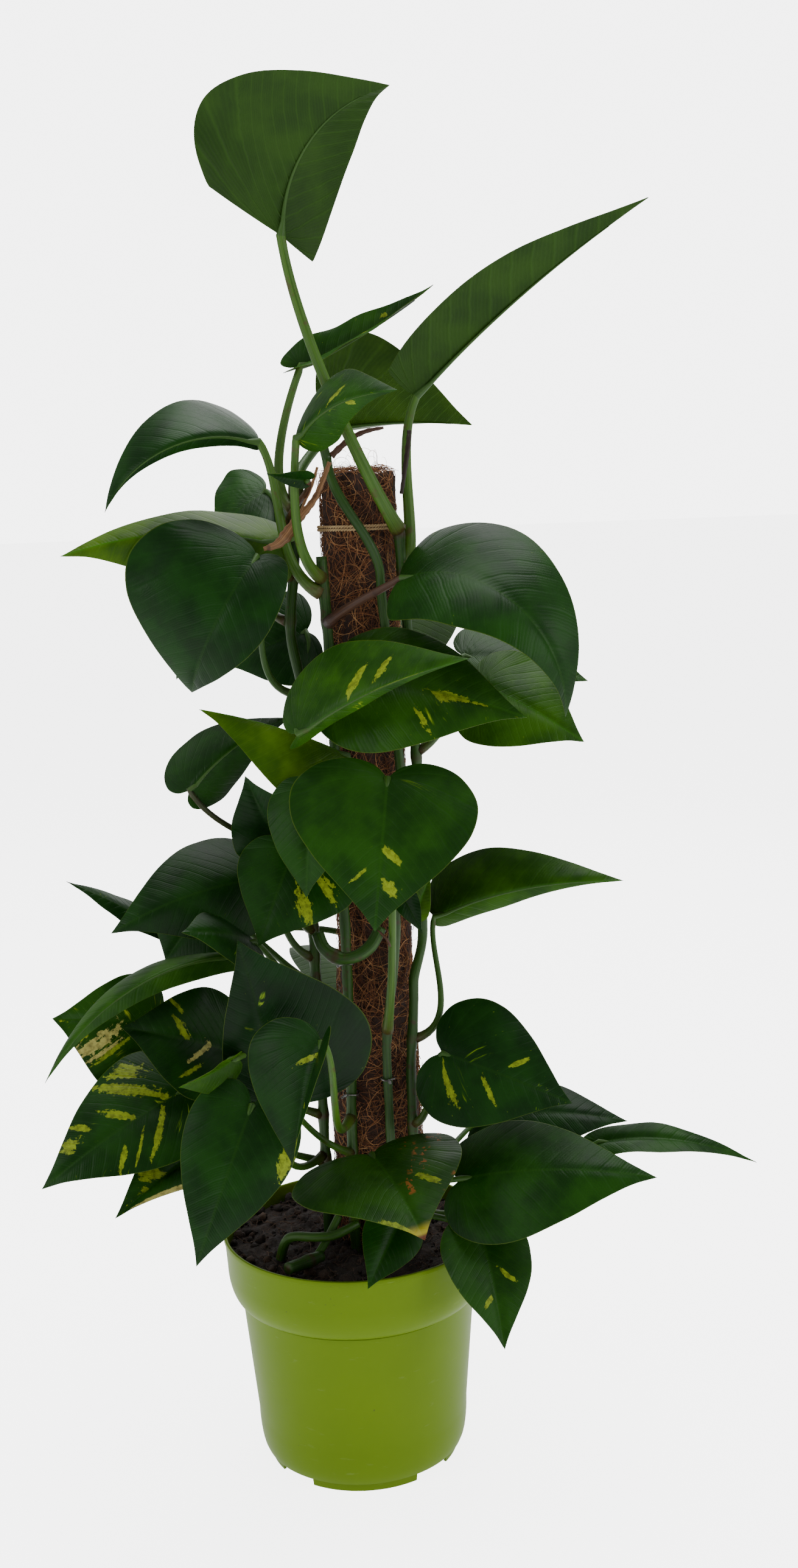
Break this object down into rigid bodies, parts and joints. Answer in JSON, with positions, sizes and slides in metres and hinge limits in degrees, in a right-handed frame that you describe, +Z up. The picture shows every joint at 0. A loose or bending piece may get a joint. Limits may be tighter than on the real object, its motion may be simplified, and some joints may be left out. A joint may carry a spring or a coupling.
{
  "type": "potted pothos on a coir pole",
  "caption": "Potted golden pothos with variegated heart-shaped leaves, climbing vines on a coir pole, in a lime-green plastic nursery pot.",
  "frame": {"origin": "centre of the pot's underside, on the surface it stands on", "axes": "+Z up along the pole, -Y towards the side with the most leaves"},
  "size_m": [0.4832, 0.3313, 0.9404],
  "materials": {
    "pot_plastic": "satin",
    "potting_soil": "matt, loose and fibrous",
    "coir": "rough fibre",
    "stake_wood": "raw",
    "twine": "dry straw fibre",
    "tie_wire": "dull",
    "stem": "living green stem",
    "leaf": "waxy living leaf, semi-gloss"
  },
  "bodies": {
    "root": {"pot": "pot_plastic", "soil": "potting_soil", "coir_sleeve": "coir", "pole_stake": "stake_wood", "twine_band": "twine", "vine_left": "stem", "vine_front_left": "stem", "vine_front_right": "stem", "vine_right": "stem", "vine_back": "stem", "stem_loop": "stem", "stem_stub": "stem", "tie_upper": "tie_wire", "tie_lower": "tie_wire", "tie_right": "tie_wire", "leaf_01": "leaf", "leaf_02": "leaf", "leaf_03": "leaf", "leaf_04": "leaf", "leaf_05": "leaf", "leaf_06": "leaf", "leaf_07": "leaf", "leaf_08": "leaf", "leaf_09": "leaf", "leaf_10": "leaf", "leaf_12": "leaf", "leaf_13": "leaf", "leaf_14": "leaf", "leaf_15": "leaf", "leaf_16": "leaf", "leaf_17": "leaf", "leaf_18": "leaf", "leaf_19": "leaf", "leaf_20": "leaf", "leaf_21": "leaf", "leaf_22": "leaf", "leaf_23": "leaf", "leaf_26": "leaf", "leaf_28": "leaf", "leaf_29": "leaf", "leaf_30": "leaf", "leaf_31": "leaf", "leaf_32": "leaf", "leaf_33": "leaf", "leaf_35": "leaf", "leaf_37": "leaf", "leaf_38": "leaf", "leaf_39": "leaf", "leaf_40": "leaf", "leaf_41": "leaf", "leaf_42": "leaf", "leaf_43": "leaf", "leaf_44": "leaf", "leaf_45": "leaf", "leaf_46": "leaf", "leaf_47": "leaf", "leaf_48": "leaf", "leaf_51": "leaf", "leaf_52": "leaf", "leaf_53": "leaf"}
  },
  "joints": []
}
